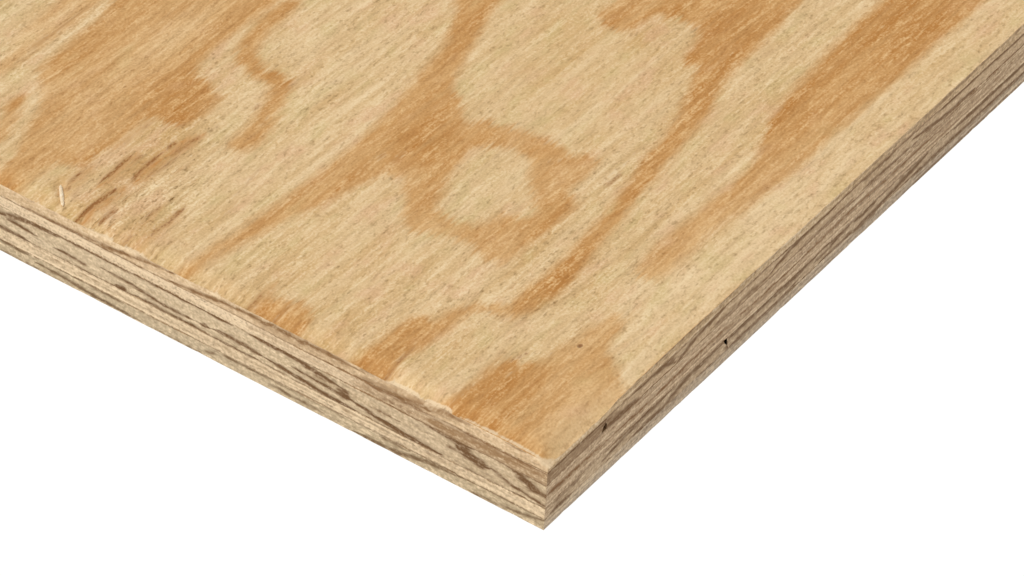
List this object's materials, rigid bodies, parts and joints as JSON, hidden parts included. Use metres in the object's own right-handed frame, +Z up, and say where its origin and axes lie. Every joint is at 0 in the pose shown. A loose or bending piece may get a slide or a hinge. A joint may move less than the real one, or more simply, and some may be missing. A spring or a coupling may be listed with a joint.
{
  "type": "sheathing panel",
  "caption": "Flat rectangular plywood sheathing panel of rotary-cut pine veneers laid crosswise, with square sawn edges that show every ply and open core gaps.",
  "frame": {"origin": "middle of the underside, on the surface that the panel lies on", "axes": "+X along the panel's length and the face grain, +Y across it along the crossband grain, +Z up through the face"},
  "size_m": [2.4384, 1.2192, 0.0183],
  "materials": {
    "face_pine": "unsanded rotary-cut pine, matt",
    "crossband_pine": "sawn pine veneer edge, matt",
    "core_pine": "sawn pine veneer edge, matt",
    "back_pine": "unsanded rotary-cut pine, matt"
  },
  "bodies": {
    "root": {"face_veneer": "face_pine", "upper_crossband_strip_1": "crossband_pine", "upper_crossband_strip_2": "crossband_pine", "upper_crossband_strip_3": "crossband_pine", "core_veneer": "core_pine", "lower_crossband_strip_1": "crossband_pine", "lower_crossband_strip_2": "crossband_pine", "lower_crossband_strip_3": "crossband_pine", "back_veneer": "back_pine"}
  },
  "joints": []
}
